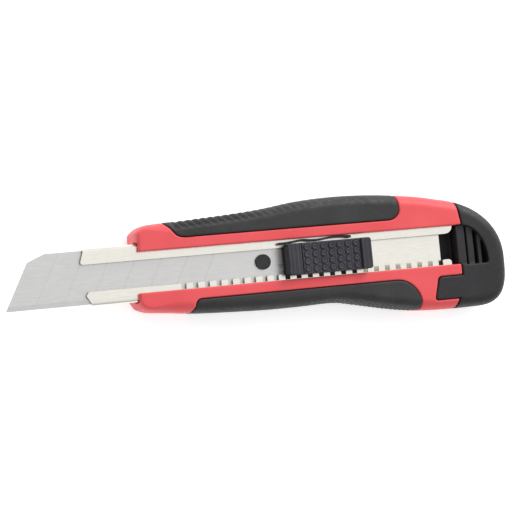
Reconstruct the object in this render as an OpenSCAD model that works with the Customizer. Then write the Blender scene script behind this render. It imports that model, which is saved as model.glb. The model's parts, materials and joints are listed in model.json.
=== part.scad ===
// Snap-off utility knife: a steel channel in a two-material handle, a spring-locked slider that
// carries the blade, and an end cap that pulls off.
// Millimetres. The knife lies on its flat back: +Z up through the slider, the blade points to -X,
// +Y is the spine side. The origin is on the resting face, half way along the handle and level with
// the middle of the blade channel.

/* [Blade] */
// Width of the blade, edge to spine
blade_w = 18; // [14:0.5:24]
// Length of the blade from tip to tail
blade_l = 100; // [90:1:120]
// Thickness of the blade
blade_t = 0.5; // [0.4:0.05:0.7]
// Angle between the cutting edge and the front edge
tip_angle = 62; // [50:1:75]
// Height of the slanted corner where the front edge meets the spine
nose_corner_h = 2.4; // [1:0.1:4]
// Length of that slanted corner along the spine
nose_corner_l = 6; // [2:0.5:9]
// Distance between two score lines
score_pitch = 9.3; // [6:0.1:10]
// Number of score lines
score_count = 7; // [1:1:7]
// Depth of a score line
score_depth = 0.15; // [0.05:0.01:0.18]
// Width of the ground bevel along the cutting edge
bevel_w = 1.8; // [1:0.1:3]
// Distance from the tail of the blade to the middle of its hole
hole_back = 11; // [8:0.1:16]

/* [Channel] */
// Thickness of the channel's sheet steel
sheet = 0.6; // [0.4:0.05:1]
// Free height inside the channel, floor to lips
rail_gap = 2.2; // [2:0.1:3.5]
// Clearance between the blade and each side of the channel
rail_play = 0.1; // [0.05:0.05:0.3]
// Width of the upper lip, from the outer side
upper_lip_w = 5.45; // [4:0.05:6]
// Width of the lower lip with its teeth, from the outer side
lower_lip_w = 4.85; // [4:0.05:5.5]
// How far the channel reaches out of the handle's nose
rail_reach = 18; // [10:0.2:25]
// Distance from the back end of the channel's floor to the cap's joint
rail_inset = 5.4; // [5:0.1:12]
// How far the upper lip and its side run on behind the floor
upper_tail = 4.2; // [2.9:0.1:4.4]
// How far the lower lip and its side run on behind the floor
lower_tail = 2.9; // [1.5:0.1:4.4]
// How far the lips' front ends stand back from the floor's
mouth_step = 1.3; // [0.8:0.1:2.5]
// Distance between two notches
notch_pitch = 4.1; // [3.4:0.1:5]
// Width of one notch
notch_w = 1.8; // [1.4:0.1:2.2]
// Depth of the notches
notch_depth = 1.9; // [1.6:0.05:2.2]
// Distance from the nose to the first notch
first_notch = 16.7; // [8:0.1:18]

/* [Handle] */
// Length of the handle, nose to cap
handle_l = 136.1; // [130:0.1:165]
// Thickness of the handle
handle_t = 17; // [16:0.5:22]
// Height of the handle's crown above the side of the channel
crown_h = 10.85; // [8:0.1:14]
// Height of the nose above the side of the channel
brow_h = 6.3; // [4:0.1:8]
// Depth of the waist below the side of the channel
waist_h = 6.8; // [6:0.1:10]
// Depth of the heel below the side of the channel
heel_h = 12.65; // [10:0.1:16]
// Depth from the handle's front face to the channel's lips
window_depth = 2.6; // [1.5:0.1:3.5]
// How far the handle's window edges cover each side of the channel
window_lap = 2.8; // [2:0.1:3.2]
// Length of the nose's open step, where the whole width of the channel shows
nose_step = 0.8; // [0.4:0.1:3]
// How much further back the nose lies on the spine side
nose_lean = 1.2; // [0:0.1:2.4]
// Size of the rounding along the handle's long edges, across the handle
edge_in = 4; // [2:0.5:5]
// Size of the same rounding through the thickness
edge_deep = 5; // [3:0.5:6]
// Thickness of the soft grips over the hard body
grip_t = 2; // [1:0.1:3]
// Distance from the side of the channel to each grip
grip_gap = 0.95; // [0.5:0.05:2]
// Distance from the nose to the front of the upper grip
upper_grip_front = 16.6; // [12:0.1:30]
// Distance from the nose to the front of the lower grip
lower_grip_front = 19.9; // [12:0.1:30]
// Distance from the back of the upper grip to the cap's joint
upper_grip_back = 21.5; // [16:0.2:40]
// Distance from the back of the lower grip to the cap's joint
lower_grip_back = 16.3; // [14:0.2:40]
// Wall around the hollow behind the channel
wall = 2.4; // [1.6:0.1:3.5]

/* [End cap] */
// Distance from the rear of the handle to the cap's joint
cap_l = 18.4; // [15:0.1:21]
// Length of the cap's snap tab beyond the joint
tab_l = 10.6; // [6:0.2:14]
// Height of the snap tab
tab_h = 7.9; // [5:0.1:9]
// Thickness of the snap tab
tab_t = 2; // [1.2:0.1:3]
// Gap around the cap where it meets the body
cap_gap = 0.3; // [0.1:0.05:0.4]
// Length of the plug that enters the handle
plug_l = 8; // [5:0.5:12]
// Thickness of the plug's upper and lower walls
plug_wall = 1.6; // [1:0.1:2]
// Depth of the cap's ribbed recess
recess_depth = 5; // [3:0.5:7]
// Length of the recess behind its rounded corner
recess_l = 9.6; // [7:0.1:11]
// How far the recess's ribs stay below the cap's face
rib_drop = 1.3; // [0.5:0.1:2.5]

/* [Slider] */
// Length of the thumb pad
pad_l = 30.4; // [28:0.5:36]
// Room between the thumb pad and the window's edge, for the lock spring
spring_room = 1.7; // [1.6:0.05:2.5]
// How far the thumb pad covers the lower lip
pad_lap = 0.75; // [0.5:0.05:1]
// Height of the thumb pad above the channel's lips, at its ends
pad_h = 5.4; // [4:0.1:8]
// How far the ribbed middle of the pad lies below its ends
pad_dip = 0.7; // [0.3:0.1:1.2]
// Length of the pad's raised front
pad_front_l = 4.7; // [3:0.1:8]
// Length of the pad's rear ridge
pad_ridge_l = 3.6; // [2:0.1:6]
// Outer radius of a grip ring on the pad
ring_r = 0.95; // [0.6:0.05:1.1]
// Distance between two grip rings along the pad
ring_step_x = 3; // [2.5:0.1:3]
// Distance between two grip rings across the pad
ring_step_y = 2.5; // [2.2:0.1:2.6]
// Distance from the middle of the blade's hole to the front of the pad
pad_setback = 7.4; // [6:0.1:12]
// How far the pad moves sideways to leave the notches
lock_travel = 1.45; // [1:0.05:1.45]
// How far the pawl's teeth reach into the notches
pawl_bite = 1.35; // [1:0.05:1.35]
// Width of one pawl tooth
pawl_tooth_w = 1.3; // [1:0.05:1.5]
// Number of pawl teeth
pawl_teeth = 3; // [1:1:4]
// Radius of the peg that carries the blade
peg_r = 2.6; // [2:0.1:3]
// Thickness of the tongue below the blade
tongue_t = 0.6; // [0.5:0.05:0.7]
// Clearance above and below the sliding pieces
slide_play = 0.1; // [0.05:0.05:0.2]
// Radius of the pad's two posts
post_r = 1.5; // [1:0.1:1.6]
// Distance between the two posts
post_step = 10; // [8:0.5:12]
// Radius of the washers staked on the posts
washer_r = 2.7; // [2.2:0.1:3]
// Thickness of the lock spring's strip
spring_t = 0.7; // [0.3:0.05:0.8]
// Height of the lock spring's strip
spring_w = 1.8; // [1:0.1:2.5]

/* [Pose] */
// Distance from the channel's mouth to the blade's tip
blade_out = 25.4; // [20:0.2:30]

/* [Hidden] */
$fn = 48;
fit = 0.05;
cut = 1;

// Lengthways places
nose_x = -handle_l / 2;
rear_x = handle_l / 2;
cap_x = rear_x - cap_l;
rail_front = nose_x - rail_reach;
rail_end = cap_x - rail_inset;
notch_count = floor((rail_end - nose_x - first_notch) / notch_pitch) + 1;
tip_x = rail_front - blade_out;
tail_x = tip_x + blade_l;
peg_x = tail_x - hole_back;
pad_x = peg_x + pad_setback;
pad_end = pad_x + pad_l;
shelf_x = pad_x - 0.3;
block_x = tail_x + 0.3;
post_x = (pad_x + pad_end) / 2;
carrier_end = post_x + post_step / 2 + washer_r + 4.3;

// Sideways places
rail_in = blade_w / 2 + rail_play;
rail_half = rail_in + sheet;
lip_top = rail_half - upper_lip_w;
lip_bottom = -rail_half + lower_lip_w;
window_half = rail_half - window_lap;
pad_y0 = lip_bottom - pad_lap;
pad_y1 = window_half - spring_room;
pad_mid = (pad_y0 + pad_y1) / 2;
grip_y = rail_half + grip_gap;
tab_y1 = -rail_half - 1.2;
tab_y0 = tab_y1 - tab_h;

// Heights
lips_z = handle_t - window_depth;
rail_z = lips_z - sheet - rail_gap - sheet;
floor_z = rail_z + sheet;
under_lips = lips_z - sheet;
tongue_z = floor_z + slide_play;
blade_z = tongue_z + tongue_t + fit;
shelf_z = blade_z + blade_t + slide_play;
carrier_top = under_lips - slide_play;
pad_z = lips_z + slide_play;
pad_top = lips_z + pad_h;
pad_floor = pad_top - pad_dip;
hollow_z = rail_z - wall;

function mix(a, b, t) = a + (b - a) * t;

// One stretch of a smooth curve through points b and c, with neighbours a and d
function smooth(a, b, c, d, t) = 0.5 * (2 * b + (c - a) * t + (2 * a - 5 * b + 4 * c - d) * t * t
    + (3 * b - a - 3 * c + d) * t * t * t);

// A smooth open curve through a list of points, with steps points per stretch
function curve(p, steps) = [for (i = [0 : len(p) - 2], s = [0 : steps - 1])
    smooth(p[max(i - 1, 0)], p[i], p[i + 1], p[min(i + 2, len(p) - 1)], s / steps)];

// Points of the handle's edge: a share of its length, and a height from the channel's middle
lean = nose_lean / handle_l;
spine_points = [[lean + 0.0008, rail_half + 0.56 * brow_h], [lean + 0.0105, rail_half + 0.77 * brow_h],
    [lean + 0.025, rail_half + 0.94 * brow_h], [lean + 0.051, rail_half + brow_h],
    [0.168, rail_half + mix(brow_h, crown_h, 0.17)], [0.33, rail_half + mix(brow_h, crown_h, 0.47)],
    [0.436, rail_half + mix(brow_h, crown_h, 0.86)], [0.543, rail_half + crown_h],
    [0.654, rail_half + 0.95 * crown_h], [0.763, rail_half + 0.8 * crown_h],
    [0.83, rail_half + 0.64 * crown_h]];
belly_points = [[0.902, -rail_half - heel_h], [0.83, -rail_half - heel_h],
    [0.763, -rail_half - 0.965 * heel_h], [0.706, -rail_half - 0.89 * heel_h],
    [0.654, -rail_half - 0.785 * heel_h], [0.597, -rail_half - mix(waist_h, heel_h, 0.27)],
    [0.543, -rail_half - mix(waist_h, heel_h, 0.03)], [0.5, -rail_half - 0.98 * waist_h],
    [0.436, -rail_half - 1.01 * waist_h], [0.33, -rail_half - waist_h],
    [0.168, -rail_half - 0.85 * waist_h], [0.092, -rail_half - 0.69 * waist_h],
    [0.037, -rail_half - 0.57 * waist_h], [0.012, -rail_half - 0.38 * waist_h]];

// The round rear: a wide squarish quarter oval down from the spine, and a smaller one up from the heel
butt_y = -rail_half + 4;
shoulder = spine_points[len(spine_points) - 1];
heel = belly_points[0];
rear_round = 2.15;
rear_middle = 0.775;
shoulder_out = (shoulder[0] - rear_middle) / (1 - rear_middle);
rear_rise = (shoulder[1] - butt_y) / pow(1 - pow(shoulder_out, rear_round), 1 / rear_round);
rear_upper = [for (a = [20 : 8 : 84]) [mix(rear_middle, 1, pow(sin(a), 2 / rear_round)),
    butt_y + rear_rise * pow(cos(a), 2 / rear_round)]];
rear_lower = [for (a = [0 : 12 : 84]) [mix(heel[0], 1, pow(cos(a), 0.67)),
    butt_y + (heel[1] - butt_y) * pow(sin(a), 0.67)]];

outline = concat([[0, -rail_half + 0.1], [lean, rail_half - 0.1]], curve(spine_points, 2), [shoulder],
    rear_upper, rear_lower, curve(belly_points, 2), [belly_points[len(belly_points) - 1]]);

// One level of the handle, drawn in by the share q of the edge rounding
nose_in = 1;
rear_in = 3.5;
mid_y = (crown_h - heel_h) / 2;
half_h = rail_half + (crown_h + heel_h) / 2;
function level(q, z, skin) = [for (p = outline)
    [nose_x + p[0] * handle_l + mix(nose_in, -rear_in, p[0]) * q - skin * p[0],
     mid_y + (p[1] - mid_y) * (1 - (edge_in * q + skin) / half_h), z]];

// The whole outer form of the handle, or the same form with a skin taken off
round_steps = 4;
module envelope(skin = 0) {
    deep = edge_deep;
    low = [for (i = [0 : round_steps]) let (a = 90 * i / round_steps)
        level(1 - sin(a), skin + deep * (1 - cos(a)), skin)];
    high = [for (i = [0 : round_steps]) let (a = 90 * i / round_steps)
        level(1 - cos(a), handle_t - skin - deep * (1 - sin(a)), skin)];
    rings = concat(low, high);
    n = len(outline);
    last = len(rings) - 1;
    centres = [[0, mid_y, skin], [0, mid_y, handle_t - skin]];
    polyhedron(
        points = concat([for (r = rings, p = r) p], centres),
        faces = concat(
            [for (i = [0 : n - 1]) [(last + 1) * n, (i + 1) % n, i]],
            [for (k = [0 : last - 1], i = [0 : n - 1])
                [k * n + i, k * n + (i + 1) % n, (k + 1) * n + (i + 1) % n]],
            [for (k = [0 : last - 1], i = [0 : n - 1])
                [k * n + i, (k + 1) * n + (i + 1) % n, (k + 1) * n + i]],
            [for (i = [0 : n - 1]) [(last + 1) * n + 1, last * n + i, last * n + (i + 1) % n]]));
}

// A box between two corners
module span(a, b) { translate(a) cube(b - a); }

// The grips' outlines as seen from the front
far = 40;
module upper_field() {
    front = nose_x + upper_grip_front;
    back = cap_x - upper_grip_back;
    r = 2;
    polygon(concat([[front - 6.1, far], [front - 6.1, rail_half + brow_h + 0.8],
        [front - 3.6, grip_y + 3.6], [front - 1.2, grip_y + 0.8]],
        [for (a = [250 : 10 : 270]) [front + r + r * cos(a), grip_y + r + r * sin(a)]],
        [for (a = [270 : 15 : 345]) [back - 4.2 + 4.2 * cos(a), grip_y + 4.2 + 4.2 * sin(a)]],
        [[back - 0.3, grip_y + 6], [back - 2.8, far]]));
}
module lower_field() {
    front = nose_x + lower_grip_front;
    back = cap_x - lower_grip_back;
    r = 2;
    big = 9;
    polygon(concat([[front - 2.4, -far], [front - 2.4, -rail_half - waist_h]],
        [for (a = [190 : -20 : 90]) [front + r + r * cos(a), -grip_y - r + r * sin(a)]],
        [for (a = [90 : -10 : 10]) [back - big + big * cos(a), -grip_y - big + big * sin(a)]],
        [[back, -far]]));
}

// The cap's side of the joint, moved by gap: it bows back beside the window and leans forward below the tab
joint_bow = 1.4;
joint_lean = 3.1;
module cap_field(gap) {
    top = cap_x + 0.1;
    low = cap_x - joint_lean;
    polygon([[top + gap, far], [top + gap, rail_half + 5], [cap_x + joint_bow / 2 + gap, rail_half + 1.6],
        [cap_x + joint_bow + gap, window_half], [cap_x + gap, window_half], [cap_x + gap, tab_y0],
        [low + 1.2 + gap, tab_y0 - gap], [low + gap, tab_y0 - gap - 3.4], [low + gap, -far],
        [rear_x + far, -far], [rear_x + far, far]]);
}

// The snap tab's outline with its foot on the cap, grown by gap
module tab_field(gap) {
    r = 1.6;
    x = cap_x - tab_l - gap;
    y0 = tab_y0 - gap;
    y1 = tab_y1 + gap;
    polygon(concat(
        [for (a = [180 : -18 : 90]) [x + r + 1.3 + r * cos(a), y1 - r + r * sin(a)]],
        [[cap_x + 4, y1], [cap_x + 4, y0 - 1], [cap_x - 1.2 - gap, y0 - 1], [cap_x - 1.2 - gap, y0]],
        [for (a = [270 : -18 : 180]) [x + r - 0.2 + r * cos(a), y0 + r + r * sin(a)]]));
}

module handle_body() color("crimson") difference() {
    union() {
        difference() {
            envelope();
            translate([0, 0, -cut]) linear_extrude(handle_t + 2 * cut) {
                upper_field();
                lower_field();
            }
        }
        intersection() {
            envelope(grip_t);
            translate([0, 0, -cut]) linear_extrude(handle_t + 2 * cut) {
                upper_field();
                lower_field();
            }
        }
    }
    translate([0, 0, -cut]) linear_extrude(handle_t + 2 * cut) cap_field(0);
    translate([0, 0, handle_t - tab_t - cap_gap]) linear_extrude(tab_t + 2) tab_field(cap_gap);
    // seat of the channel, open at both ends
    span([nose_x - cut, -rail_half, rail_z], [rear_x, rail_half, lips_z]);
    // window over the slider
    span([nose_x - cut, -window_half, lips_z - cut], [rear_x, window_half, handle_t + cut]);
    // open step of the nose, slanted like the nose itself
    translate([0, 0, lips_z - cut]) linear_extrude(window_depth + 2 * cut)
        polygon([[nose_x - cut, -rail_half], [nose_x + nose_step, -rail_half],
            [nose_x + nose_step + nose_lean, rail_half], [nose_x - cut, rail_half]]);
    // opening behind the channel's floor, into the hollow
    span([rail_end + 0.3, -window_half, hollow_z - cut], [rear_x, window_half, lips_z]);
    // hollow behind the channel, open to the rear
    span([nose_x + wall + 3, -rail_half + wall, wall], [rear_x, rail_half - wall, hollow_z]);
}

module grip(skin) intersection() {
    difference() {
        envelope();
        envelope(skin);
    }
    translate([0, 0, -cut]) linear_extrude(handle_t + 2 * cut) children();
}
module upper_grip() color("dimgray") grip(grip_t) upper_field();
module lower_grip() color("dimgray") grip(grip_t) lower_field();

// The channel: floor, two sides and two lips bent over the blade
module blade_channel() color("silver") difference() {
    union() {
        span([rail_front, -rail_half, rail_z], [rail_end, rail_half, floor_z]);
        span([rail_front, rail_half - sheet, rail_z], [rail_end + upper_tail, rail_half, lips_z]);
        span([rail_front, -rail_half, rail_z], [rail_end + lower_tail, -rail_half + sheet, lips_z]);
        translate([0, 0, under_lips]) linear_extrude(sheet) upper_lip();
        translate([0, 0, under_lips]) linear_extrude(sheet) lower_lip();
    }
    for (i = [0 : notch_count - 1])
        span([notch_x(i) - notch_w / 2, lip_bottom - notch_depth, under_lips - cut],
             [notch_x(i) + notch_w / 2, lip_bottom + cut, lips_z + cut]);
    // slanted mouth below the blade's edge
    translate([rail_front + mouth_step, lip_bottom - mouth_corner, 0]) rotate([0, 0, mouth_slant])
        span([-rail_half, -rail_half, 0], [0, 1, handle_t]);
}
function notch_x(i) = nose_x + first_notch + i * notch_pitch;
mouth_corner = 1.2;
mouth_slant = 30;
module upper_lip() {
    front_r = 1;
    back_r = 2.8;
    back = rail_end + upper_tail - back_r;
    polygon(concat([[rail_front + mouth_step, rail_half], [rail_front + front_r, rail_half - mouth_corner]],
        [for (a = [180 : 18 : 270]) [rail_front + front_r * (1 + cos(a)), lip_top + front_r * (1 + sin(a))]],
        [for (a = [270 : 15 : 360]) [back + back_r * cos(a), lip_top + back_r * (1 + sin(a))]],
        [[rail_end + upper_tail, rail_half]]));
}
module lower_lip() {
    r = 1.2;
    mouth = rail_front + mouth_step;
    back = rail_end + lower_tail - r;
    polygon(concat([[mouth + 0.9, lip_bottom], [mouth, lip_bottom - mouth_corner], [mouth, -rail_half]],
        [[rail_end + lower_tail, -rail_half]],
        [for (a = [0 : 18 : 90]) [back + r * cos(a), lip_bottom - r + r * sin(a)]]));
}

// The blade: one scored strip of steel with a slanted front
module blade() color("gainsboro") difference() {
    rise = blade_w - nose_corner_h;
    front = tip_x + rise / tan(tip_angle);
    translate([0, 0, blade_z]) linear_extrude(blade_t) polygon([[tip_x, -blade_w / 2],
        [front, -blade_w / 2 + rise], [front + nose_corner_l, blade_w / 2], [tail_x, blade_w / 2],
        [tail_x, -blade_w / 2]]);
    translate([peg_x, 0, blade_z - cut]) cylinder(r = peg_r + fit, h = blade_t + 2 * cut);
    for (i = [1 : score_count])
        translate([tip_x + i * score_pitch, -blade_w / 2, blade_z + blade_t - score_depth])
            rotate([0, 0, tip_angle]) span([-3, -0.15, 0], [blade_w / sin(tip_angle) + 3, 0.15, cut]);
    // bevel ground on both faces of the edge
    for (side = [0, 1])
        translate([0, -blade_w / 2, blade_z + blade_t / 2]) mirror([0, 0, side])
            rotate([atan(blade_t / 2 / bevel_w), 0, 0])
                span([tip_x - cut, -cut, 0.02], [tail_x + cut, bevel_w * 2, 2]);
}

// The carrier: a tongue under the blade with its peg, a shelf over the tail and a block behind it
module slider_carrier() color("dimgray") difference() {
    half = rail_in - side_play;
    union() {
        tongue();
        translate([peg_x, 0, tongue_z]) cylinder(r = peg_r, h = under_lips + 0.2 - tongue_z);
        span([block_x, -half, tongue_z], [carrier_end, half, carrier_top]);
        span([shelf_x, -half, shelf_z], [block_x, half, carrier_top]);
    }
    for (i = [-1, 1]) translate([post_x + i * post_step / 2, pad_mid, 0]) {
        slot(post_r + fit, tongue_z - cut, carrier_top + cut);
        slot(washer_r + fit, tongue_z - cut, tongue_z + 0.7);
    }
}
side_play = 0.3;
module tongue() {
    w = peg_r + 1.8;
    translate([peg_x, 0, tongue_z]) cylinder(r = w, h = tongue_t);
    span([peg_x, -w, tongue_z], [block_x + 1, w, tongue_z + tongue_t]);
}
// A round-ended slot that leaves the posts room for the lock's travel
module slot(r, z0, z1) {
    span([-r, 0, z0], [r, lock_travel + fit, z1]);
    for (y = [0, lock_travel + fit]) translate([0, y, z0]) cylinder(r = r, h = z1 - z0);
}

// The thumb pad, with raised ends, a field of grip rings and two posts
module thumb_pad() color("dimgray") {
    difference() {
        span([pad_x, pad_y0, pad_z], [pad_end, pad_y1, pad_top]);
        span([pad_x + pad_front_l, pad_y0 - cut, pad_floor],
             [pad_end - pad_ridge_l, pad_y1 + cut, pad_top + cut]);
    }
    field_l = pad_l - pad_front_l - pad_ridge_l;
    cols = floor((field_l - 2 * ring_r - 0.2) / ring_step_x) + 1;
    rows = floor((pad_y1 - pad_y0 - 2 * ring_r - 0.2) / ring_step_y) + 1;
    first_x = (pad_x + pad_front_l + pad_end - pad_ridge_l) / 2 - ring_step_x * (cols - 1) / 2;
    for (i = [0 : cols - 1], j = [0 : rows - 1])
        translate([first_x + i * ring_step_x, pad_mid + (j - (rows - 1) / 2) * ring_step_y, pad_floor - 0.1])
            difference() {
                cylinder(r = ring_r, h = 0.35, $fn = 24);
                translate([0, 0, 0.1]) cylinder(r = ring_r * 0.55, h = 1, $fn = 24);
            }
    for (i = [-1, 1]) translate([post_x + i * post_step / 2, pad_mid, tongue_z + 0.1])
        cylinder(r = post_r, h = pad_z + fit - tongue_z);
}

// The pawl: a toothed steel plate on the pad's posts, level with the lips
module lock_pawl() color("dimgray") difference() {
    z0 = under_lips + 0.05;
    z1 = lips_z + slide_play;
    half = post_step / 2 + post_r + 1.7;
    union() {
        span([post_x - half, lip_bottom + 0.3, z0], [post_x + half, lip_top - lock_travel - 0.2, z1]);
        for (i = [0 : pawl_teeth - 1])
            translate([pawl_x(i), 0, 0])
                span([-pawl_tooth_w / 2, lip_bottom - pawl_bite, z0],
                     [pawl_tooth_w / 2, lip_bottom + 0.5, z1]);
    }
    for (i = [-1, 1]) translate([post_x + i * post_step / 2, pad_mid, 0])
        cylinder(r = post_r + fit, h = handle_t);
}
// The pawl's teeth stand in the notches nearest the posts
first_pawl = ceil((post_x - post_step / 2 - 2.4 - notch_x(0)) / notch_pitch);
function pawl_x(i) = notch_x(first_pawl + i);

// The lock spring: a wavy strip between the pad and the window's edge. Its points are a place behind
// the pad's front and a share of the room beside the pad
spring_points = [[-2.2, 0.2], [0.5, 0.26], [3.5, 0.42], [6.5, 0.62], [9.5, 0.44], [13, 0.44], [17, 0.7],
    [21, 0.72], [24.6, 0.5]];
module lock_spring() color("dimgray") {
    room = window_half - pad_y1;
    places = [for (p = spring_points) [pad_x + p[0], pad_y1 + p[1] * room]];
    line = concat(curve(places, 5), [places[len(places) - 1]]);
    last = len(line) - 1;
    translate([0, 0, lips_z + 0.15]) linear_extrude(spring_w)
        polygon(concat([for (p = line) p + [0, spring_t / 2]],
            [for (i = [last : -1 : 0]) line[i] - [0, spring_t / 2]]));
}

module pad_washers() color("silver") for (i = [-1, 1])
    translate([post_x + i * post_step / 2, pad_mid, tongue_z + 0.1]) difference() {
        cylinder(r = washer_r, h = 0.5);
        translate([0, 0, -cut]) cylinder(r = post_r + fit / 2, h = 2 * cut);
    }

// The end cap, with its snap tab, plug and ribbed recess
module end_cap() color("dimgray") {
    g = cap_gap;
    difference() {
        union() {
            intersection() {
                envelope();
                translate([0, 0, -cut]) linear_extrude(handle_t + 2 * cut) cap_field(g);
            }
            intersection() {
                envelope();
                translate([0, 0, handle_t - tab_t]) linear_extrude(tab_t + cut) tab_field(0);
            }
            span([cap_x - plug_l, -rail_half + wall + g, wall + g],
                 [cap_x + 2, rail_half - wall - g, hollow_z - g]);
        }
        translate([0, 0, handle_t - recess_depth]) linear_extrude(recess_depth + cut) recess_field();
        // hollow of the plug, open to the front
        span([cap_x - plug_l - cut, -rail_half + 2 * wall, wall + g + plug_wall],
             [cap_x + 8, rail_half - 2 * wall, hollow_z - plug_wall]);
    }
    ribs();
}
module recess_field() {
    r = 1;
    low = -window_half + r;
    rise = 2 * window_half - r - 0.1;
    front = cap_x - cut;
    polygon(concat([[front, low - 1.4], [front, low + rise]],
        [for (a = [90 : -10 : 10]) [cap_x + r + recess_l * cos(a), low + rise * sin(a)]],
        [[cap_x + r + recess_l + 0.1, low - 0.4], [cap_x + recess_l + 0.2, low - 1.4]]));
}
// Three ribs across the recess, each a place behind the joint and a width. The first reaches a little
// way into the window
rib_places = [[cap_gap + 0.05, 2.6], [3.45, 2.6], [7.3, 1.6]];
module ribs() {
    low = handle_t - recess_depth - 0.3;
    high = handle_t - rib_drop;
    intersection() {
        translate([0, 0, low]) linear_extrude(high - low) recess_field();
        for (rib = rib_places)
            span([cap_x + rib[0], -rail_half, 0], [cap_x + rib[0] + rib[1], rail_half, handle_t]);
    }
    span([cap_x - 0.4, -window_half + cap_gap, low + 0.3], [cap_x + 1, window_half - cap_gap, high]);
}

handle_body();
upper_grip();
lower_grip();
blade_channel();
end_cap();
slider_carrier();
blade();
thumb_pad();
lock_pawl();
lock_spring();
pad_washers();
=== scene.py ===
"""Snap-off utility knife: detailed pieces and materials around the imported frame.

Lengths are millimetres in the row frame until a mesh is made, which is in metres. The plastic pieces are
fields: a function that is negative inside the piece, sampled on a grid and skinned where it crosses zero.
"""
import json
import math

import bmesh
import bpy
import numpy as np
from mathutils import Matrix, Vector

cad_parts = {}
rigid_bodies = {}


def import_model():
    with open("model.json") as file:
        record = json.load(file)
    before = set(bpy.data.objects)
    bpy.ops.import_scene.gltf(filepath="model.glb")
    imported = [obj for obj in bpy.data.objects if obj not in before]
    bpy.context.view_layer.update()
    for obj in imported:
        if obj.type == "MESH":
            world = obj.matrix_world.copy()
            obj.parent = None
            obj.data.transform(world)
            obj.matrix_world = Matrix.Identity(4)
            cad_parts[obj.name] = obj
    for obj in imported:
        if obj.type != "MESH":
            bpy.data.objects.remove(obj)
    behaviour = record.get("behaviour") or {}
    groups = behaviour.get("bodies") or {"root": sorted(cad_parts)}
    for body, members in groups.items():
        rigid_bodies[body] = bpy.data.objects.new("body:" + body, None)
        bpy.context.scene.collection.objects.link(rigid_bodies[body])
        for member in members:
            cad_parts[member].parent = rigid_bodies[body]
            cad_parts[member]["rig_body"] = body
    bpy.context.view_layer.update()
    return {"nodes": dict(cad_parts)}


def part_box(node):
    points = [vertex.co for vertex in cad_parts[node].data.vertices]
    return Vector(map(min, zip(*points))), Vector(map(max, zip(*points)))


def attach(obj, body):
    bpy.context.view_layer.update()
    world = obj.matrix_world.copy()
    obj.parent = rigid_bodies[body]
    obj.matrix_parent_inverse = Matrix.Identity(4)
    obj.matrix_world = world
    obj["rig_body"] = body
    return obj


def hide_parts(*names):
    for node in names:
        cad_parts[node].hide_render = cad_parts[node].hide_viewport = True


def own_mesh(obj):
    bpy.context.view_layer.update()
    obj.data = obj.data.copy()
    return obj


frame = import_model()

MM = 0.001


def node_box(node):
    """Lowest and highest corner of a CAD node in millimetres."""
    low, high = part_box(node)
    return np.array(low) / MM, np.array(high) / MM


# ---------------------------------------------------------------- sizes, from the frame
body_lo, body_hi = node_box("handle_body")
cap_lo, cap_hi = node_box("end_cap")
rail_lo, rail_hi = node_box("blade_channel")
pad_lo, pad_hi = node_box("thumb_pad")
spring_lo, spring_hi = node_box("lock_spring")
spine_y = node_box("upper_grip")[1][1]

SHEET = 0.6           # the channel's sheet
BEND = 0.95           # its bending radius, at the sheet's middle
UPPER_LIP = 5.45      # how far each lip reaches over the blade
LOWER_LIP = 4.85
RAIL_INSET = 5.4      # from the channel's floor to the end cap's joint
NOTCH_PITCH = 4.1
NOTCH_W = 1.8
NOTCH_DEPTH = 1.9
FIRST_NOTCH = 16.7    # from the nose
WALL = 2.4            # the body's wall
EDGE_ACROSS = 4.0     # the outer form's rounding, measured in from the outline
EDGE_DEEP = 5.0       # and in from each face
NOSE_ACROSS = 1.0     # the rounding across at the nose itself
BROW = 0.575          # the nose's height over the channel, as a share of the crown's
WAIST = 0.527         # the waist's depth below the channel, as a share of the heel's
NOSE_STEP = 0.8       # how far the red over the channel stands back from the nose
NOSE_LEAN = 1.2       # how far the nose's upper end lies back
WINDOW_LAP = 2.8      # how far the window's edges cover the channel
GRIP_T = 2.0
GRIP_MARGIN = 0.95    # from the channel's side to the grips
UPPER_FRONT, UPPER_BACK = 16.6, 21.5    # the upper grip, from the nose and from the cap's joint
LOWER_FRONT, LOWER_BACK = 19.9, 16.3
BUTT_UP = 4.0         # the rearmost point, from the channel's lower side
JOINT_BULGE = 1.4     # how far the cap's joint lies back at the window
HEEL_STEP = 3.1       # how far the cap reaches forward along the heel
CAP_GAP = 0.3
TAB_L, TAB_H = 10.6, 7.9
TAB_DROP = 1.2        # from the channel's lower side down to the tab
TAB_DEEP = 2.0
RECESS_DEEP = 5.0
RIB_DROP = 1.3
FAR = 40.0            # well outside the knife

nose_x, rear_x = body_lo[0], cap_hi[0]
handle_l = rear_x - nose_x
handle_t = body_hi[2]
rail_half = rail_hi[1]
rail_z, lips_z = rail_lo[2], rail_hi[2]
rail_front = rail_lo[0]
crown_h = spine_y - rail_half
heel_h = -rail_half - min(cap_lo[1], body_lo[1])
brow_h = BROW * crown_h
waist_h = WAIST * heel_h
cap_x = body_hi[0] - JOINT_BULGE
rail_end = cap_x - RAIL_INSET
lip_top = rail_half - UPPER_LIP
lip_bottom = -rail_half + LOWER_LIP
window_half = rail_half - WINDOW_LAP
grip_y = rail_half + GRIP_MARGIN
tab_y1 = -rail_half - TAB_DROP
tab_y0 = tab_y1 - TAB_H
hollow_z = rail_z - WALL


# ---------------------------------------------------------------- fields
def mix(a, b, t):
    return a + (b - a) * t


def smooth_step(x, a, b):
    t = np.clip((x - a) / (b - a), 0, 1)
    return t * t * (3 - 2 * t)


def arc(cx, cy, rx, ry, start, stop, steps=12):
    """Points of an oval arc, in degrees."""
    turns = np.radians(np.linspace(start, stop, steps + 1))
    return [(cx + rx * math.cos(a), cy + ry * math.sin(a)) for a in turns]


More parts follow.
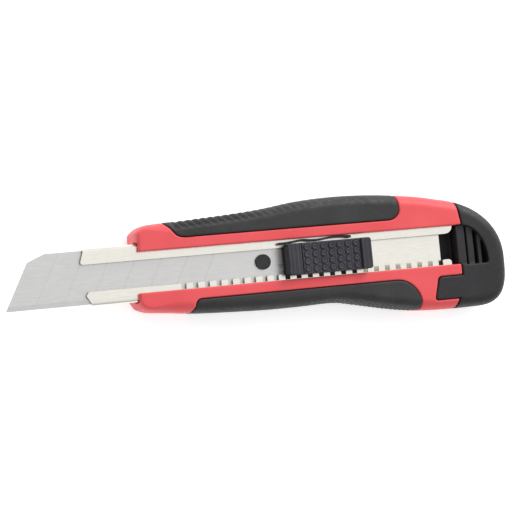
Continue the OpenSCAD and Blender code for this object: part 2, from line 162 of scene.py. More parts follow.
def curve(points, steps=8):
    """A smooth open curve through a list of points."""
    p = np.array(points, float)
    out = []
    for i in range(len(p) - 1):
        a, b, c, d = p[max(i - 1, 0)], p[i], p[i + 1], p[min(i + 2, len(p) - 1)]
        for t in np.arange(steps) / steps:
            out.append(0.5 * (2 * b + (c - a) * t + (2 * a - 5 * b + 4 * c - d) * t**2
                              + (3 * b - a - 3 * c + d) * t**3))
    return [tuple(q) for q in out]


def outline_distance(x, y, points):
    """Signed distance to a closed outline, negative inside, at every x and y of a grid."""
    ring = np.array(points, float)
    best = np.full(x.shape, 1e9)
    inside = np.zeros(x.shape, bool)
    for (ax, ay), (bx, by) in zip(ring, np.roll(ring, -1, axis=0)):
        ex, ey = bx - ax, by - ay
        length = ex * ex + ey * ey
        if length == 0:
            continue
        t = np.clip(((x - ax) * ex + (y - ay) * ey) / length, 0, 1)
        best = np.minimum(best, (x - ax - t * ex) ** 2 + (y - ay - t * ey) ** 2)
        if ay != by:
            crosses = (ay > y) != (by > y)
            inside ^= crosses & (x < ax + (y - ay) / ey * ex)
    distance = np.sqrt(best)
    return np.where(inside, -distance, distance)


def both(a, b, r=0.0):
    """The part that two fields share, its new edges rounded by r."""
    if r == 0:
        return np.maximum(a, b)
    round_part = np.sqrt(np.maximum(a + r, 0) ** 2 + np.maximum(b + r, 0) ** 2)
    return np.minimum(-r, np.maximum(a, b)) + round_part


def without(a, b, r=0.0):
    """Field a with b cut away, the cut's edges rounded by r."""
    return both(a, -b, r)


def slab(z, low, high):
    return np.maximum(low - z, z - high)


def block(x, y, z, low, high):
    """A box between two corners."""
    plan = np.maximum(slab(x, low[0], high[0]), slab(y, low[1], high[1]))
    return np.maximum(plan, slab(z, low[2], high[2]))


class Grid:
    """Sample places between two corners, a step apart."""

    def __init__(self, low, high, step):
        self.low = np.array(low, float)
        self.step = step
        counts = np.ceil((np.array(high, float) - self.low) / step).astype(int) + 1
        axes = [self.low[i] + step * np.arange(counts[i]) for i in range(3)]
        self.x = axes[0][:, None, None]
        self.y = axes[1][None, :, None]
        self.z = axes[2][None, None, :]
        self.flat_x, self.flat_y = np.meshgrid(axes[0], axes[1], indexing="ij")

    def outline(self, points):
        """Distance to an outline in plan, ready to combine with heights."""
        return outline_distance(self.flat_x, self.flat_y, points)[:, :, None]

    def skin(self, field):
        """Vertices and faces where the field crosses zero."""
        inside = field < 0
        corners = [(i, j, k) for i in (0, 1) for j in (0, 1) for k in (0, 1)]
        shape = np.array(field.shape) - 1

        def part(a, c):
            return a[c[0]:c[0] + shape[0], c[1]:c[1] + shape[1], c[2]:c[2] + shape[2]]

        count = sum(part(inside, c).astype(np.int8) for c in corners)
        cells = np.argwhere((count > 0) & (count < 8))
        number = np.full(shape, -1, np.int64)
        number[tuple(cells.T)] = np.arange(len(cells))
        values = np.stack([field[tuple((cells + c).T)] for c in corners], 1)
        places = np.array(corners, float)
        total = np.zeros((len(cells), 3))
        hits = np.zeros(len(cells))
        for a in range(8):
            for b in range(a + 1, 8):
                if np.abs(places[a] - places[b]).sum() != 1:
                    continue
                va, vb = values[:, a], values[:, b]
                cross = (va < 0) != (vb < 0)
                t = np.where(cross, va / np.where(cross, va - vb, 1), 0)[:, None]
                total += np.where(cross[:, None], places[a] + t * (places[b] - places[a]), 0)
                hits += cross
        verts = self.low + self.step * (cells + total / hits[:, None])
        faces = []
        for axis in range(3):
            ahead = [slice(None)] * 3
            behind = [slice(None)] * 3
            ahead[axis] = slice(1, None)
            behind[axis] = slice(None, -1)
            change = inside[tuple(behind)].astype(np.int8) - inside[tuple(ahead)]
            edges = np.argwhere(change != 0)
            u, v = (axis + 1) % 3, (axis + 2) % 3
            edges = edges[(edges[:, u] > 0) & (edges[:, v] > 0)]
            leaving = change[tuple(edges.T)] > 0
            quad = []
            for du, dv in ((1, 1), (0, 1), (0, 0), (1, 0)):
                cell = edges.copy()
                cell[:, u] -= du
                cell[:, v] -= dv
                quad.append(number[tuple(cell.T)])
            quad = np.stack(quad, 1)
            quad[~leaving] = quad[~leaving][:, ::-1]
            faces.append(quad)
        return verts, np.concatenate(faces)


# ---------------------------------------------------------------- the handle's outlines
def handle_outline():
    """The whole outer form in plan. Along X, points are shares of the handle's length."""
    h, r = handle_l, rail_half
    lean = NOSE_LEAN / h
    spine = [(lean + 0.0008, r + 0.56 * brow_h), (lean + 0.0105, r + 0.77 * brow_h),
             (lean + 0.025, r + 0.94 * brow_h), (lean + 0.051, r + brow_h),
             (0.168, r + mix(brow_h, crown_h, 0.17)), (0.33, r + mix(brow_h, crown_h, 0.47)),
             (0.436, r + mix(brow_h, crown_h, 0.86)), (0.543, r + crown_h), (0.654, r + 0.95 * crown_h),
             (0.763, r + 0.8 * crown_h), (0.83, r + 0.64 * crown_h)]
    belly = [(0.902, -r - heel_h), (0.83, -r - heel_h), (0.763, -r - 0.965 * heel_h),
             (0.706, -r - 0.89 * heel_h), (0.654, -r - 0.785 * heel_h),
             (0.597, -r - mix(waist_h, heel_h, 0.27)), (0.543, -r - mix(waist_h, heel_h, 0.03)),
             (0.5, -r - 0.98 * waist_h), (0.436, -r - 1.01 * waist_h), (0.33, -r - waist_h),
             (0.168, -r - 0.85 * waist_h), (0.092, -r - 0.69 * waist_h), (0.037, -r - 0.57 * waist_h),
             (0.012, -r - 0.38 * waist_h)]
    butt_y = -r + BUTT_UP
    shoulder, heel = spine[-1], belly[0]
    middle, power, heel_power = 0.775, 2.15, 0.67
    out = (shoulder[0] - middle) / (1 - middle)
    rise = (shoulder[1] - butt_y) / (1 - out**power) ** (1 / power)
    rear_upper = [(mix(middle, 1, math.sin(a) ** (2 / power)),
                   butt_y + rise * math.cos(a) ** (2 / power))
                  for a in np.radians(np.arange(15, 89.5, 2.5))]
    rear_lower = [(mix(heel[0], 1, math.cos(a) ** heel_power),
                   butt_y + (heel[1] - butt_y) * math.sin(a) ** heel_power)
                  for a in np.radians(np.arange(0, 88, 3))]
    shares = ([(0, -r + 0.1), (lean, r - 0.1)] + curve(spine) + [shoulder] + rear_upper + rear_lower
              + curve(belly) + [belly[-1]])
    return [(nose_x + s * h, y) for s, y in shares]


def upper_grip_outline():
    """The region of the upper grip: a slanting front, a straight lower side and a rounded rear."""
    front, back, r = nose_x + UPPER_FRONT, cap_x - UPPER_BACK, 4.2
    ramp = curve([(front - 6.1, rail_half + brow_h + 0.8), (front - 3.6, grip_y + 3.6),
                  (front - 1.2, grip_y + 0.8), (front + 1.4, grip_y), (front + 6, grip_y)])
    return ([(front - 6.8, FAR)] + ramp + arc(back - r, grip_y + r, r, r, 270, 345)
            + [(back - 0.3, grip_y + 6), (back - 2.8, FAR)])


def lower_grip_outline():
    """The region of the lower grip, with a small round at its front and a wide one at its rear."""
    front, back, front_r, back_r = nose_x + LOWER_FRONT, cap_x - LOWER_BACK, 2, 9
    return ([(front - 2.4, -FAR), (front - 2.4, -rail_half - waist_h)]
            + arc(front + front_r, -grip_y - front_r, front_r, front_r, 190, 90)
            + arc(back - back_r, -grip_y - back_r, back_r, back_r, 90, 5) + [(back, -FAR)])


def cap_outline(gap):
    """Everything behind the joint of the body and the end cap."""
    top, low, bulge = cap_x + 0.1, cap_x - HEEL_STEP, cap_x + JOINT_BULGE
    joint = curve([(top + gap, 16.5), (cap_x + 0.7 + gap, rail_half + 1.6), (bulge + gap, window_half)])
    return ([(top + gap, FAR)] + joint
            + [(bulge + gap, window_half), (cap_x + gap, window_half), (cap_x + gap, tab_y0),
               (low + 1.2 + gap, tab_y0 - gap), (low + gap, tab_y0 - gap - 3.4), (low + gap, -FAR),
               (rear_x + FAR, -FAR), (rear_x + FAR, FAR)])


def tab_outline(gap):
    """The cap's snap tab with the foot under its root."""
    r, foot_r, x, foot_x = 1.6, 1.1, cap_x - TAB_L - gap, cap_x - 1.2 - gap
    y0, y1 = tab_y0 - gap, tab_y1 + gap
    return (arc(x + r + 1.3, y1 - r, r, r, 180, 90)
            + [(cap_x + 4, y1), (cap_x + 4, y0 - 1), (foot_x, y0 - 1), (foot_x, y0)]
            + arc(x + 0.9, y0 + foot_r, foot_r, foot_r, 270, 180))


def recess_outline():
    """The quarter-oval recess in the end cap."""
    w = window_half
    return ([(cap_x - 1, -w - 0.4), (cap_x - 1, w - 0.1)]
            + arc(cap_x + 1, -w + 1, 9.6, 2 * w - 1.1, 90, 8)
            + arc(cap_x + 9.7, -w + 0.6, 1, 1, 0, -90, 4))


# ---------------------------------------------------------------- the handle's fields
BODY_STEP = 0.32      # grid steps of the handle's pieces and of the thumb pad
PAD_STEP = 0.15


class Handle:
    """Fields of the handle's moulded pieces on one grid."""

    def __init__(self, low_x, high_x):
        margin = 1.0
        self.grid = Grid((low_x, -rail_half - heel_h - margin, -margin),
                         (high_x, rail_half + crown_h + margin, handle_t + margin), BODY_STEP)
        g = self.grid
        self.edge = g.outline(handle_outline())
        self.shell = self.rounded_shell()
        self.upper = g.outline(upper_grip_outline())
        self.lower = g.outline(lower_grip_outline())

    def rounded_shell(self):
        """The whole outer form: the outline with oval roundings along both faces."""
        across = mix(NOSE_ACROSS, EDGE_ACROSS, smooth_step(self.grid.x, nose_x, nose_x + 15))
        scale = (EDGE_ACROSS + EDGE_DEEP) / 2
        u = 1 + self.edge / across
        v = 1 + slab(self.grid.z, 0, handle_t) / EDGE_DEEP
        corner = np.sqrt(np.maximum(u, 0) ** 2 + np.maximum(v, 0) ** 2)
        return (corner + np.minimum(np.maximum(u, v), 0) - 1) * scale

    def body(self):
        """The red body: grip recesses, cap joint, tab pocket, window, channel seat and hollow cut out."""
        g, gap, soft = self.grid, 0.22, 0.45
        grips = np.minimum(self.upper, self.lower) - gap
        field = without(self.shell, both(grips, -(self.shell + GRIP_T)), 0.3)
        joint = g.outline(cap_outline(0))
        field = without(field, joint, 0.3)
        tab = both(g.outline(tab_outline(CAP_GAP)), handle_t - TAB_DEEP - CAP_GAP - g.z)
        field = without(field, tab, 0.25)
        window = both(slab(g.y, -window_half, window_half), lips_z - 0.2 - g.z)
        step_end = nose_x + NOSE_STEP + NOSE_LEAN * (0.5 + 0.5 * g.y / rail_half)
        step = both(np.maximum(slab(g.y, -rail_half - 0.1, rail_half + 0.1), g.x - step_end),
                    lips_z - 0.2 - g.z)
        field = without(field, np.minimum(window, step), soft)
        around = 0.1 + 0.3 * smooth_step(g.x, nose_x + 3, nose_x + 1.5)
        seat = both(np.abs(g.y) - rail_half - around, slab(g.z, rail_z - 0.05, lips_z + 0.05))
        field = without(field, seat, 0.15)
        opening = block(g.x, g.y, g.z, (rail_end + 0.3, -window_half, hollow_z - 1),
                        (rear_x, window_half, lips_z))
        field = without(field, opening, 0.2)
        hollow = block(g.x, g.y, g.z, (nose_x + WALL + 3, -rail_half + WALL, WALL),
                       (rear_x, rail_half - WALL, hollow_z))
        return without(field, hollow, 0.3)

    def grip(self, region, grooves):
        """A rubber sleeve: the outer layer within a region, grooved from outside."""
        layer = both(self.shell + grooves, -(self.shell + GRIP_T - 0.05))
        return both(layer, region, 0.55)

    def spine_grooves(self):
        """Slanting finger grooves over the spine's edge, fading out towards the crown."""
        g, pitch = self.grid, 2.8
        phase = (g.x + 0.8 * g.y) / pitch
        share = phase - np.floor(phase)
        wave = np.maximum((1 - share) ** 1.6, smooth_step(share, 0.88, 1.0))
        start = nose_x + 13.5
        along = smooth_step(g.x, start, start + 2) * smooth_step(g.x, nose_x + 76, nose_x + 54)
        along = along * mix(1, 0.2, smooth_step(g.x, nose_x + 34, nose_x + 50))
        near = smooth_step(self.edge, -3.3, -2.0) * (1 - 0.5 * smooth_step(self.edge, -1.2, 0))
        return 1.1 * wave * along * near

    def belly_serrations(self):
        """Fine serrations along the heel's lower edge."""
        g, pitch = self.grid, 1.75
        phase = (g.x - 0.4 * g.y) / pitch
        wave = smooth_step(np.abs(phase - np.round(phase)), 0.45, 0.05)
        along = smooth_step(g.x, nose_x + 59, nose_x + 64) * smooth_step(g.x, cap_x - 17, cap_x - 20)
        return 0.5 * wave * along * smooth_step(self.edge, -1.3, -0.4) * (g.y < 0)


def cap_field(handle):
    """The end cap: outer form, plug, hollow, and the recess with its three ribs."""
    g, gap = handle.grid, CAP_GAP
    plug_half = rail_half - WALL - gap
    tab = both(g.outline(tab_outline(0)), handle_t - TAB_DEEP - g.z)
    field = both(handle.shell, np.minimum(g.outline(cap_outline(gap + 0.1)), tab), 0.35)
    plug = block(g.x, g.y, g.z, (cap_x - 8, -plug_half, WALL + gap), (cap_x + 2, plug_half, hollow_z - gap))
    field = np.minimum(field, plug)
    recess = both(g.outline(recess_outline()), handle_t - RECESS_DEEP - g.z)
    field = without(field, recess, 0.35)
    plug_hollow = block(g.x, g.y, g.z, (cap_x - 9, -rail_half + 2 * WALL, WALL + gap + 1.6),
                        (cap_x + 8, rail_half - 2 * WALL, hollow_z - 1.6))
    field = without(field, plug_hollow, 0.2)
    rib_top = handle_t - RIB_DROP
    for start, width in ((0.35, 2.6), (3.45, 2.6), (7.3, 1.6)):
        rib = both(slab(g.x, cap_x + start, cap_x + start + width), g.z - rib_top, 0.4)
        rib = both(rib, g.outline(recess_outline()) - 0.2)
        field = np.minimum(field, both(rib, handle_t - RECESS_DEEP - 0.4 - g.z))
    lead_half = window_half - 0.3
    lead = block(g.x, g.y, g.z, (cap_x - 0.4, -lead_half, handle_t - RECESS_DEEP),
                 (cap_x + 1, lead_half, rib_top))
    return np.minimum(field, lead)


def pad_field(g):
    """The thumb pad: fluted front, ringed middle, rear ridge, two posts below."""
    x, y, z = g.x - pad_lo[0], g.y, g.z
    length, top = pad_hi[0] - pad_lo[0], pad_hi[2]
    base = lips_z + 0.1
    front_l, ridge_l, dip, flute_pitch = 4.7, 3.6, 0.7, 1.5
    ridge_x = length - ridge_l
    flutes = 0.5 - 0.5 * np.cos(2 * math.pi * x / flute_pitch)
    height = top - 0.14 * flutes * (x < front_l) - 0.1 * flutes * (x > ridge_x)
    middle = smooth_step(x, front_l - 0.1, front_l + 0.25)
    middle = middle * smooth_step(x, ridge_x + 0.1, ridge_x - 0.25)
    height = height - dip * middle
    for place, width in ((front_l + 0.25, 0.3), (ridge_x - 0.3, 0.32)):
        height = height - 0.7 * smooth_step(np.abs(x - place), width, width * 0.4)
    plan = both(slab(x, 0, length), slab(y, pad_lo[1], pad_hi[1]), 1.0)
    field = both(plan, np.maximum(z - height, base - z), 0.35)
    cols, rows, ring_r, col_pitch, row_pitch = 7, 4, 0.95, 3.0, 2.5
    mid_x, mid_y = (front_l + ridge_x) / 2, (pad_lo[1] + pad_hi[1]) / 2
    floor = top - dip
    for i in range(cols):
        for j in range(rows):
            cx, cy = mid_x + col_pitch * (i - (cols - 1) / 2), mid_y + row_pitch * (j - (rows - 1) / 2)
            r = np.sqrt((x - cx) ** 2 + (y - cy) ** 2)
            moat = both(np.abs(r - ring_r - 0.1) - 0.12, floor - 0.28 - z)
            bump = both(r - ring_r, slab(z, floor - 0.6, floor + 0.45), 0.25)
            dimple = np.sqrt(r**2 + (z - floor - 1.05) ** 2) - 0.85
            field = np.minimum(without(field, moat, 0.05), without(bump, dimple, 0.1))
    post_r, post_x = 1.5, 5
    for side in (-1, 1):
        r = np.sqrt((x - length / 2 - side * post_x) ** 2 + (y - mid_y) ** 2)
        field = np.minimum(field, both(r - post_r, slab(z, pad_lo[2], base + 1)))
    return field


# ---------------------------------------------------------------- meshes
def new_object(name, verts, faces, smooth=True):
    """A mesh object from millimetre vertices."""
    mesh = bpy.data.meshes.new(name)
    mesh.from_pydata((np.asarray(verts) * MM).tolist(), [], [list(map(int, f)) for f in faces])
    mesh.validate()
    mesh.polygons.foreach_set("use_smooth", [smooth] * len(mesh.polygons))
    obj = bpy.data.objects.new(name, mesh)
    bpy.context.scene.collection.objects.link(obj)
    return obj


def apply_modifiers(obj):
    graph = bpy.context.evaluated_depsgraph_get()
    done = bpy.data.meshes.new_from_object(obj.evaluated_get(graph))
    obj.modifiers.clear()
    obj.data = done


def moulded(name, grid, field, faces_left=150_000):
    """A piece skinned from its field, thinned where it is flat."""
    verts, faces = grid.skin(field)
    obj = new_object(name, verts, faces)
    triangles = 2 * len(faces)
    if triangles > faces_left:
        thin = obj.modifiers.new("thin", "DECIMATE")
        thin.ratio = faces_left / triangles
    normals = obj.modifiers.new("normals", "WEIGHTED_NORMAL")
    normals.weight = 80
    apply_modifiers(obj)
    return obj


def finish_piece(obj, node, material):
    """Puts a piece in place of its CAD node, on the same body."""
    obj.data.materials.clear()
    obj.data.materials.append(material)
    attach(obj, frame["nodes"][node]["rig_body"])
    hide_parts(node)
    return obj


def dress_node(node, material, bevel=0.0, segments=2):
    """A CAD node that stays, with its material and softened edges."""
    obj = frame["nodes"][node]
    obj.data.materials.clear()
    obj.data.materials.append(material)
    if bevel:
        edge = obj.modifiers.new("edges", "BEVEL")
        edge.width = bevel * MM
        edge.segments = segments
        edge.limit_method = "ANGLE"
        edge.angle_limit = math.radians(35)
        edge.harden_normals = True
    return obj


# ---------------------------------------------------------------- channel: a stamped blank, bent up
def bend_place(s):
    """The place on the channel's middle surface, s along the blank from the lower lip's edge."""
    half, z0, z1 = rail_half - SHEET / 2, rail_z + SHEET / 2, lips_z - SHEET / 2
    r = BEND
    quarter = math.pi / 2 * r
    lower = (lip_bottom + half) - r
    runs = [("line", lower, (lip_bottom, z1), (-1, 0)),
            ("turn", quarter, (-half + r, z1 - r), 90),
            ("line", z1 - z0 - 2 * r, (-half, z1 - r), (0, -1)),
            ("turn", quarter, (-half + r, z0 + r), 180),
            ("line", 2 * half - 2 * r, (-half + r, z0), (1, 0)),
            ("turn", quarter, (half - r, z0 + r), 270),
            ("line", z1 - z0 - 2 * r, (half, z0 + r), (0, 1)),
            ("turn", quarter, (half - r, z1 - r), 0),
            ("line", half - r - lip_top, (half - r, z1), (-1, 0))]
    for kind, length, start, way in runs:
        if s <= length + 1e-9:
            if kind == "line":
                return start[0] + way[0] * s, start[1] + way[1] * s
            a = math.radians(way) + s / r
            return start[0] + r * math.cos(a), start[1] + r * math.sin(a)
        s -= length
    return runs[-1][2][0] - runs[-1][1], z1


def blank_runs():
    """Where each stretch of the blank starts and ends, as lengths along it."""
    half, z0, z1 = rail_half - SHEET / 2, rail_z + SHEET / 2, lips_z - SHEET / 2
    quarter = math.pi / 2 * BEND
    lower = lip_bottom + half - BEND
    side = z1 - z0 - 2 * BEND
    floor_w, upper = 2 * half - 2 * BEND, half - BEND - lip_top
    return np.cumsum([0, lower, quarter, side, quarter, floor_w, quarter, side, quarter, upper])


def corner_back(away, reach):
    """How far a rounded corner has drawn back at a distance from its edge, as a share of its reach."""
    return 1 - math.sqrt(max(0, 1 - (1 - min(away / reach, 1)) ** 2))


def channel():
    """The channel, laid out as a flat blank in rows along the sheet and columns along X."""
    marks = blank_runs()
    end = marks[-1]
    tooth = NOTCH_DEPTH
    upper_side = marks[-2]

    def front(s):
        """Where the mouth cuts the blank."""
        step, slope = 1.3, 0.577
        slant = step + slope * (lip_bottom - 1.2 - bend_place(s)[0])
        if s < step:
            return rail_front + mix(2.3, step, s / step)
        if s < marks[5]:
            return rail_front + max(0.2, slant)
        away = end - s
        return rail_front + 1.4 * min(away / (end - upper_side), 1) + 1.1 * corner_back(away, 1.2)

    def back(s):
        """Where the rear end cuts the blank: both lips reach past the floor as rounded tails."""
        if s < marks[3]:
            return rail_end + 2.9 - 1.2 * corner_back(s, 1.2)
        if s > marks[6]:
            return rail_end + 4.2 - 2.8 * corner_back(end - s, 2.8)
        return rail_end

    rows = set(np.linspace(0, 0.45, 5)) | {0.8, 1.2, tooth, marks[1]}
    for i in (1, 3, 5, 7):
        rows |= set(np.linspace(marks[i], marks[i + 1], 6))
    rows |= {marks[3] + 0.02, marks[6] - 0.02} | set(np.linspace(marks[4], marks[5], 9))
    rows |= set(end - np.linspace(0, 2.8, 9)) | {end - 0.3, end - 0.6}
    rows = sorted(rows)
    notches = [nose_x + FIRST_NOTCH + i * NOTCH_PITCH
               for i in range(int((rail_end - nose_x - FIRST_NOTCH) / NOTCH_PITCH) + 1)]
    plain = [rail_front + 8, rail_front + 14]
    columns = plain + sorted([n - NOTCH_W / 2 for n in notches] + [n + NOTCH_W / 2 for n in notches])
    tooth_r = 0.45
    verts, faces = [], []
    width = len(columns) + 2
    for s in rows:
        y, z = bend_place(s)
        rounding = tooth_r - math.sqrt(max(0, tooth_r**2 - max(0, tooth_r - s) ** 2))
        flared = [c + rounding * (-1) ** (k + 1) for k, c in enumerate(columns[2:])]
        stations = [front(s)] + plain + flared + [back(s)]
        if columns[-1] > back(s) - 0.2:
            stations[-1] = columns[-1] + 0.2
        verts += [(x, y, z) for x in stations]
    for i in range(len(rows) - 1):
        for j in range(width - 1):
            mid = (verts[i * width + j][0] + verts[i * width + j + 1][0]) / 2
            in_notch = any(abs(mid - n) < 0.5 * NOTCH_W for n in notches)
            if in_notch and rows[i] < tooth - 1e-6:
                continue
            a = i * width + j
            faces.append((a, a + 1, a + width + 1, a + width))
    obj = new_object("channel_steel_bent", verts, faces)
    build = bmesh.new()
    build.from_mesh(obj.data)
    bmesh.ops.delete(build, geom=[v for v in build.verts if not v.link_faces], context="VERTS")
    bmesh.ops.recalc_face_normals(build, faces=build.faces)
    build.to_mesh(obj.data)
    build.free()
    thick = obj.modifiers.new("sheet", "SOLIDIFY")
    thick.thickness = SHEET * MM
    thick.offset = 0
    edge = obj.modifiers.new("edges", "BEVEL")
    edge.width = 0.12 * MM
    edge.segments = 2
    edge.limit_method = "ANGLE"
    edge.angle_limit = math.radians(50)
    edge.harden_normals = True
    apply_modifiers(obj)
    return obj


def spring_and_shadow_band():
    """The lock spring: a wavy strip with swollen, rounded ends, drawn wider than the real strip so that its
    dark faces also paint the shadow it casts beside it.
    """
    room = window_half - pad_hi[1]
    shares = [(-2.2, 0.2), (0.5, 0.26), (3.5, 0.42), (6.5, 0.62), (9.5, 0.44), (13, 0.44), (17, 0.7),
              (21, 0.72), (24.6, 0.5)]
    places = curve([(pad_lo[0] + x, pad_hi[1] + share * room) for x, share in shares], 16)
    low, high = spring_lo[2], spring_hi[2]
    # the strip's half width, widened past the real strip so that the dark steel also paints its shadow on
    # the lip
    strip_and_shadow_half, last = 0.38, len(places) - 1
    verts, faces = [], []
    for i, (x, y) in enumerate(places):
        t = i / last
        swell = 1 + 0.25 * math.exp(-(t / 0.06) ** 2) + 0.3 * math.exp(-((1 - t) / 0.08) ** 2)
        round_off = min(1, math.sqrt(min(t, 1 - t) / 0.03) + 0.15)
        half = strip_and_shadow_half * swell * round_off
        verts += [(x, y - half, low), (x, y + half, low), (x, y + half, high), (x, y - half, high)]
    for i in range(last):
        a = 4 * i
        faces += [(a + k, a + (k + 1) % 4, a + 4 + (k + 1) % 4, a + 4 + k) for k in range(4)]
    faces += [(3, 2, 1, 0), tuple(4 * last + k for k in range(4))]
    obj = new_object("lock_spring_strip", verts, faces)
    edge = obj.modifiers.new("edges", "BEVEL")
    edge.width = 0.1 * MM
    edge.segments = 2
    edge.limit_method = "ANGLE"
    edge.angle_limit = math.radians(50)
    apply_modifiers(obj)
    return obj


# ---------------------------------------------------------------- materials
class Nodes:
    """Short calls for building one node material."""

    def __init__(self, name):
        self.material = bpy.data.materials.new(name)
        self.material.use_nodes = True
        self.tree = self.material.node_tree
        self.shader = self.tree.nodes["Principled BSDF"]
        self.place = self.tree.nodes.new("ShaderNodeTexCoord").outputs["Object"]

    def add(self, kind, **inputs):
        node = self.tree.nodes.new(kind)
        for key, value in inputs.items():
            socket = node.inputs[key.replace("_", " ")]
            if isinstance(value, bpy.types.NodeSocket):
                self.tree.links.new(value, socket)
            else:
                socket.default_value = value
        return node

    def noise(self, scale, detail=3.0, roughness=0.5, stretch=None):
        """Noise with features about 1/scale metres across, drawn out along an axis by stretch."""
        place = self.place
        if stretch:
            mapping = self.add("ShaderNodeMapping", Vector=place, Scale=stretch)
            place = mapping.outputs["Vector"]
        node = self.add("ShaderNodeTexNoise", Vector=place, Scale=scale, Detail=detail, Roughness=roughness)
        return node.outputs["Fac"]

    def ramp(self, factor, low, high, start=0.3, stop=0.7):
        """A value or colour from low to high as factor goes from start to stop."""
        node = self.tree.nodes.new("ShaderNodeMapRange")
        self.tree.links.new(factor, node.inputs["Value"])
        node.inputs["From Min"].default_value = start
        node.inputs["From Max"].default_value = stop
        node.inputs["To Min"].default_value = low
        node.inputs["To Max"].default_value = high
        return node.outputs["Result"]

    def mixed(self, factor, a, b):
        node = self.tree.nodes.new("ShaderNodeMix")
        node.data_type = "RGBA"
        for socket, value in ((node.inputs[0], factor), (node.inputs[6], a), (node.inputs[7], b)):
            if isinstance(value, bpy.types.NodeSocket):
                self.tree.links.new(value, socket)
            else:
                socket.default_value = value if isinstance(value, float) else (*value, 1)
        return node.outputs[2]

    def edge_wear(self, sharp=0.56):
        """High on convex edges."""
        point = self.add("ShaderNodeNewGeometry").outputs["Pointiness"]
        return self.ramp(point, 0.0, 1.0, sharp - 0.04, sharp + 0.04)

    def set(self, **inputs):
        for key, value in inputs.items():
            socket = self.shader.inputs[key.replace("_", " ")]
            if isinstance(value, bpy.types.NodeSocket):
                self.tree.links.new(value, socket)
            elif isinstance(value, tuple):
                socket.default_value = (*value, 1)
            else:
                socket.default_value = value

    def bump(self, height, strength, distance):
        node = self.add("ShaderNodeBump", Strength=strength, Distance=distance, Height=height)
        self.tree.links.new(node.outputs["Normal"], self.shader.inputs["Normal"])


def red_plastic():
    """Moulded red plastic with soft clouds, paler edges and a fine grain."""
    n = Nodes("red_plastic")
    cloud = n.noise(60, 4)
    colour = n.mixed(n.ramp(cloud, 0.0, 1.0), (0.76, 0.091, 0.101), (0.81, 0.114, 0.123))
    colour = n.mixed(n.ramp(n.edge_wear(), 0.0, 0.25, 0.0, 1.0), colour, (0.88, 0.20, 0.21))
    n.set(Base_Color=colour, Roughness=n.ramp(n.noise(900, 3), 0.36, 0.48), IOR=1.5,
          Specular_IOR_Level=0.16)
    n.bump(n.noise(4200, 2), 0.12, 0.00003)
    return n.material


def rubber(name, tint, grain=1.0, shine=0.5):
    """Black rubber or matt plastic with cloudy tint, rubbed edges and a grain."""
    n = Nodes(name)
    dark, light = tuple(0.75 * c for c in tint), tuple(1.25 * c for c in tint)
    colour = n.mixed(n.ramp(n.noise(90, 5), 0.0, 1.0), dark, light)
    colour = n.mixed(n.ramp(n.edge_wear(), 0.0, 0.5, 0.0, 1.0), colour, tuple(3.2 * c for c in tint))
    n.set(Base_Color=colour, Roughness=n.ramp(n.noise(700, 4), 0.50, 0.68), IOR=1.47,
          Specular_IOR_Level=shine)
    n.bump(n.noise(3000, 3), 0.35 * grain, 0.00005)
    return n.material


def rolled_steel(name, tint, rough, spots, along=(6, 60, 60)):
    """Bare steel with fine rolling marks along X and faint clouds."""
    n = Nodes(name)
    streaks = n.noise(55, 5, 0.6, stretch=along)
    clouds = n.noise(120, 4)
    dim = tuple(0.90 * c for c in tint)
    colour = n.mixed(n.ramp(streaks, 0.0, 1.0), dim, tint)
    colour = n.mixed(n.ramp(clouds, 0.0, spots, 0.52, 0.70), colour, tuple(0.72 * c for c in tint))
    n.set(Base_Color=colour, Metallic=1.0, Roughness=n.ramp(streaks, rough * 0.8, rough * 1.25))
    n.bump(streaks, 0.04, 0.00002)
    return n.material


def assign_all():
    """Every piece with its finish."""
    red = red_plastic()
    grip_rubber = rubber("grip_rubber", (0.022, 0.022, 0.024))
    cap_plastic = rubber("black_plastic", (0.011, 0.011, 0.013), 0.7)
    pad_plastic = rubber("pad_plastic", (0.050, 0.049, 0.058), 0.5, 0.22)
    channel_steel = rolled_steel("channel_steel", (0.86, 0.84, 0.77), 0.22, 0.10)
    blade_steel = rolled_steel("blade_steel", (0.66, 0.655, 0.65), 0.30, 0.09, (4, 40, 40))
    dark_steel = rolled_steel("spring_steel", (0.05, 0.05, 0.055), 0.4, 0.2)
    bright_steel = rolled_steel("washer_steel", (0.55, 0.55, 0.55), 0.35, 0.2)

    handle = Handle(nose_x - 1.0, cap_x + 3)
    body = moulded("handle_body_shell", handle.grid, handle.body())
    finish_piece(body, "handle_body", red)
    upper = moulded("upper_grip_sleeve", handle.grid, handle.grip(handle.upper, handle.spine_grooves()))
    finish_piece(upper, "upper_grip", grip_rubber)
    lower = moulded("lower_grip_sleeve", handle.grid, handle.grip(handle.lower, handle.belly_serrations()))
    finish_piece(lower, "lower_grip", grip_rubber)

    rear = Handle(cap_x - 12, rear_x + 1)
    finish_piece(moulded("end_cap_shell", rear.grid, cap_field(rear)), "end_cap",
                 cap_plastic)

    pad_grid = Grid(pad_lo - 0.5, pad_hi + 0.5, PAD_STEP)
    finish_piece(moulded("thumb_pad_shell", pad_grid, pad_field(pad_grid)), "thumb_pad",
                 pad_plastic)
    finish_piece(channel(), "blade_channel", channel_steel)
    strip = finish_piece(spring_and_shadow_band(), "lock_spring", dark_steel)
    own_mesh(strip)

    dress_node("blade", blade_steel, 0.03, 1)
    dress_node("slider_carrier", cap_plastic, 0.2)
    dress_node("lock_pawl", dark_steel, 0.1)
    dress_node("pad_washers", bright_steel, 0.08)


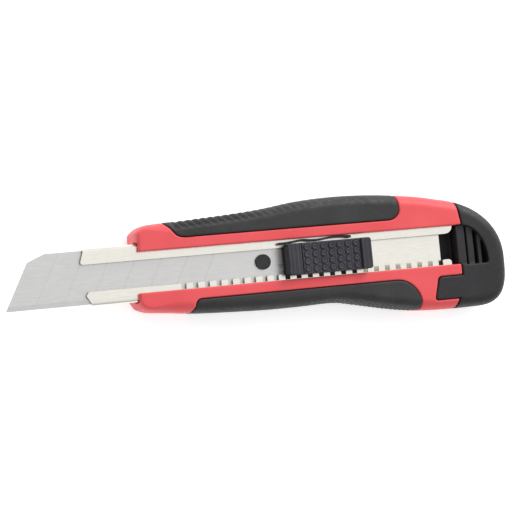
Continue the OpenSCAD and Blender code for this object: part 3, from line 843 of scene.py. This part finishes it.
# ---------------------------------------------------------------- stage, light and camera
def floor():
    """A plain pale disc under the knife, faintly lit from within so that it stays white."""
    rings, spokes, radius = 24, 64, 6.0
    verts = [(0, 0, 0)]
    faces = []
    for i in range(1, rings + 1):
        r = radius * (i / rings) ** 2
        verts += [(r * math.cos(2 * math.pi * k / spokes), r * math.sin(2 * math.pi * k / spokes), 0)
                  for k in range(spokes)]
    faces += [(0, 1 + k, 1 + (k + 1) % spokes) for k in range(spokes)]
    for i in range(rings - 1):
        a, b = 1 + i * spokes, 1 + (i + 1) * spokes
        faces += [(a + k, b + k, b + (k + 1) % spokes, a + (k + 1) % spokes) for k in range(spokes)]
    obj = new_object("floor", np.array(verts) / MM, faces)
    n = Nodes("floor_paper")
    n.set(Base_Color=n.mixed(n.ramp(n.noise(3, 2), 0.0, 1.0), (0.90, 0.90, 0.90), (0.92, 0.92, 0.92)),
          Roughness=0.9, Emission_Color=(1.0, 1.0, 1.0), Emission_Strength=0.5)
    obj.data.materials.append(n.material)


def soft_light(name, place, aim, width, height, power):
    data = bpy.data.lights.new(name, "AREA")
    data.shape = "RECTANGLE"
    data.size, data.size_y = width, height
    data.energy = power
    lamp = bpy.data.objects.new(name, data)
    bpy.context.scene.collection.objects.link(lamp)
    lamp.location = place
    lamp.rotation_euler = (Vector(aim) - Vector(place)).to_track_quat("-Z", "Y").to_euler()


def lighting():
    """A pale sky, brightest high towards the spine and the rear, and one soft panel."""
    world = bpy.data.worlds.new("studio")
    world.use_nodes = True
    tree = world.node_tree
    tree.nodes["Background"].inputs["Color"].default_value = (1, 1, 1, 1)
    place = tree.nodes.new("ShaderNodeTexCoord")
    toward = tree.nodes.new("ShaderNodeVectorMath")
    toward.operation = "DOT_PRODUCT"
    toward.inputs[1].default_value = Vector((0.5, 0.45, 0.75)).normalized()
    tree.links.new(place.outputs["Generated"], toward.inputs[0])
    level = tree.nodes.new("ShaderNodeMapRange")
    for name, value in (("From Min", -0.6), ("From Max", 0.9), ("To Min", 0.2), ("To Max", 1.05)):
        level.inputs[name].default_value = value
    tree.links.new(toward.outputs["Value"], level.inputs["Value"])
    tree.links.new(level.outputs["Result"], tree.nodes["Background"].inputs["Strength"])
    bpy.context.scene.world = world
    soft_light("key_panel", (0.6, 0.7, 0.45), (0, 0, 0), 0.4, 0.4, 6.5)
    bpy.context.scene.view_settings.view_transform = "Standard"


def camera():
    """Nearly straight above the knife, leaning to its blade end, rolled so that it rises to the right."""
    turn, tilt, roll = math.radians(17.44), math.radians(-2.16), math.radians(5.66)
    distance, target = 541.7, Vector((-25.41, 2.57, lips_z))
    back = Vector((-math.sin(turn) * math.cos(tilt), math.sin(tilt), math.cos(turn) * math.cos(tilt)))
    across = Vector((0, 1, 0)).cross(back).normalized()
    up = back.cross(across)
    right = math.cos(roll) * across - math.sin(roll) * up
    up = math.sin(roll) * across + math.cos(roll) * up
    data = bpy.data.cameras.new("camera")
    data.sensor_width = 36
    data.lens = 112.1
    data.clip_start, data.clip_end = 0.05, 20
    cam = bpy.data.objects.new("camera", data)
    bpy.context.scene.collection.objects.link(cam)
    cam.matrix_world = Matrix(((right.x, up.x, back.x, 0), (right.y, up.y, back.y, 0),
                                  (right.z, up.z, back.z, 0), (0, 0, 0, 1)))
    cam.location = (target + distance * back) * MM
    bpy.context.scene.camera = cam


assign_all()
floor()
lighting()
camera()
